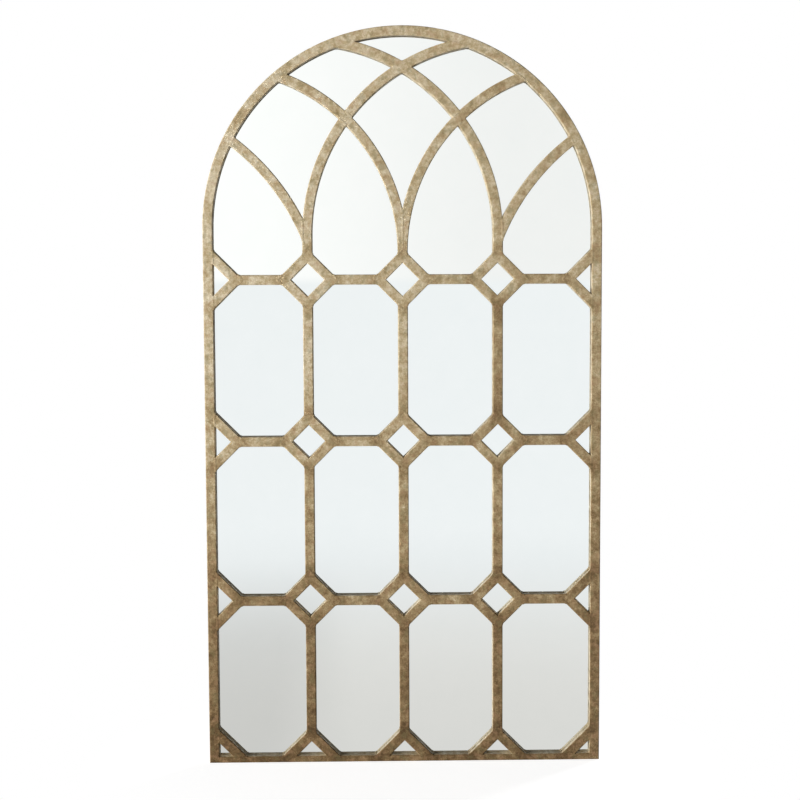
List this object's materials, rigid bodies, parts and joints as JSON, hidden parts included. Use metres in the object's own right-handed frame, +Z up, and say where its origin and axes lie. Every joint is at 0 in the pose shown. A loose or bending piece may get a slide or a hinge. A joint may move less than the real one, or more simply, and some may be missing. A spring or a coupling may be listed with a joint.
{
  "type": "arched window mirror",
  "caption": "Tall arched wall mirror in an antique gilt steel window frame, with a lattice of bars, diamond crossings and curved tracery over the glass.",
  "frame": {"origin": "middle of the bottom rail's foot face, at the middle of the frame's depth", "axes": "+Z up the mirror, +X to the right seen from the front, +Y out of the back to the wall; the front faces -Y"},
  "size_m": [0.8, 0.0319, 1.49],
  "materials": {
    "antique_gilt": "mottled antique champagne gold over dark brown",
    "mirror_silver": "silvered float glass",
    "backing_hardboard": "brown hardboard, smooth face out",
    "zinc_steel": "dull zinc plate"
  },
  "bodies": {
    "frame": {"outer_hoop": "antique_gilt", "bottom_rail": "antique_gilt", "diamond_low_left": "antique_gilt", "mullion_low_left": "antique_gilt", "diamond_low_centre": "antique_gilt", "mullion_low_centre": "antique_gilt", "diamond_low_right": "antique_gilt", "mullion_low_right": "antique_gilt", "transom_low_1": "antique_gilt", "transom_low_2": "antique_gilt", "transom_low_3": "antique_gilt", "transom_low_4": "antique_gilt", "side_vee_low_left": "antique_gilt", "side_vee_low_right": "antique_gilt", "diamond_middle_left": "antique_gilt", "mullion_middle_left": "antique_gilt", "diamond_middle_centre": "antique_gilt", "mullion_middle_centre": "antique_gilt", "diamond_middle_right": "antique_gilt", "mullion_middle_right": "antique_gilt", "transom_middle_1": "antique_gilt", "transom_middle_2": "antique_gilt", "transom_middle_3": "antique_gilt", "transom_middle_4": "antique_gilt", "side_vee_middle_left": "antique_gilt", "side_vee_middle_right": "antique_gilt", "diamond_high_left": "antique_gilt", "mullion_high_left": "antique_gilt", "diamond_high_centre": "antique_gilt", "mullion_high_centre": "antique_gilt", "diamond_high_right": "antique_gilt", "mullion_high_right": "antique_gilt", "transom_high_1": "antique_gilt", "transom_high_2": "antique_gilt", "transom_high_3": "antique_gilt", "transom_high_4": "antique_gilt", "side_vee_high_left": "antique_gilt", "side_vee_high_right": "antique_gilt", "foot_chevron_left": "antique_gilt", "foot_chevron_centre": "antique_gilt", "foot_chevron_right": "antique_gilt", "corner_brace_left": "antique_gilt", "short_arc_left": "antique_gilt", "middle_arc_left": "antique_gilt", "long_arc_from_left": "antique_gilt", "corner_brace_right": "antique_gilt", "short_arc_right": "antique_gilt", "middle_arc_right": "antique_gilt", "long_arc_from_right": "antique_gilt", "mirror_glass": "mirror_silver", "backing_board": "backing_hardboard", "hanger_strap_left": "zinc_steel", "hanger_strap_right": "zinc_steel"},
    "ring_left": {"hanger_ring_left": "zinc_steel"},
    "ring_right": {"hanger_ring_right": "zinc_steel"},
    "button_low_left": {"turn_button_low_left": "zinc_steel"},
    "button_low_right": {"turn_button_low_right": "zinc_steel"},
    "button_high_left": {"turn_button_high_left": "zinc_steel"},
    "button_high_right": {"turn_button_high_right": "zinc_steel"},
    "button_top": {"turn_button_top": "zinc_steel"}
  },
  "joints": [
    {"name": "ring_left_swing", "type": "hinge", "parent": "frame", "child": "ring_left", "pos_m": [-0.39, 0.0161, 1.02], "axis": [1, 0, 0], "range_deg": [0, 180]},
    {"name": "ring_right_swing", "type": "hinge", "parent": "frame", "child": "ring_right", "pos_m": [0.39, 0.0161, 1.02], "axis": [1, 0, 0], "range_deg": [0, 180]},
    {"name": "button_low_left_turn", "type": "hinge", "parent": "frame", "child": "button_low_left", "pos_m": [-0.39, 0.01355, 0.15], "axis": [0, 1, 0], "continuous": true},
    {"name": "button_low_right_turn", "type": "hinge", "parent": "frame", "child": "button_low_right", "pos_m": [0.39, 0.01355, 0.15], "axis": [0, 1, 0], "continuous": true},
    {"name": "button_high_left_turn", "type": "hinge", "parent": "frame", "child": "button_high_left", "pos_m": [-0.39, 0.01355, 0.9], "axis": [0, 1, 0], "continuous": true},
    {"name": "button_high_right_turn", "type": "hinge", "parent": "frame", "child": "button_high_right", "pos_m": [0.39, 0.01355, 0.9], "axis": [0, 1, 0], "continuous": true},
    {"name": "button_top_turn", "type": "hinge", "parent": "frame", "child": "button_top", "pos_m": [0, 0.01355, 1.48], "axis": [0, 1, 0], "continuous": true}
  ]
}
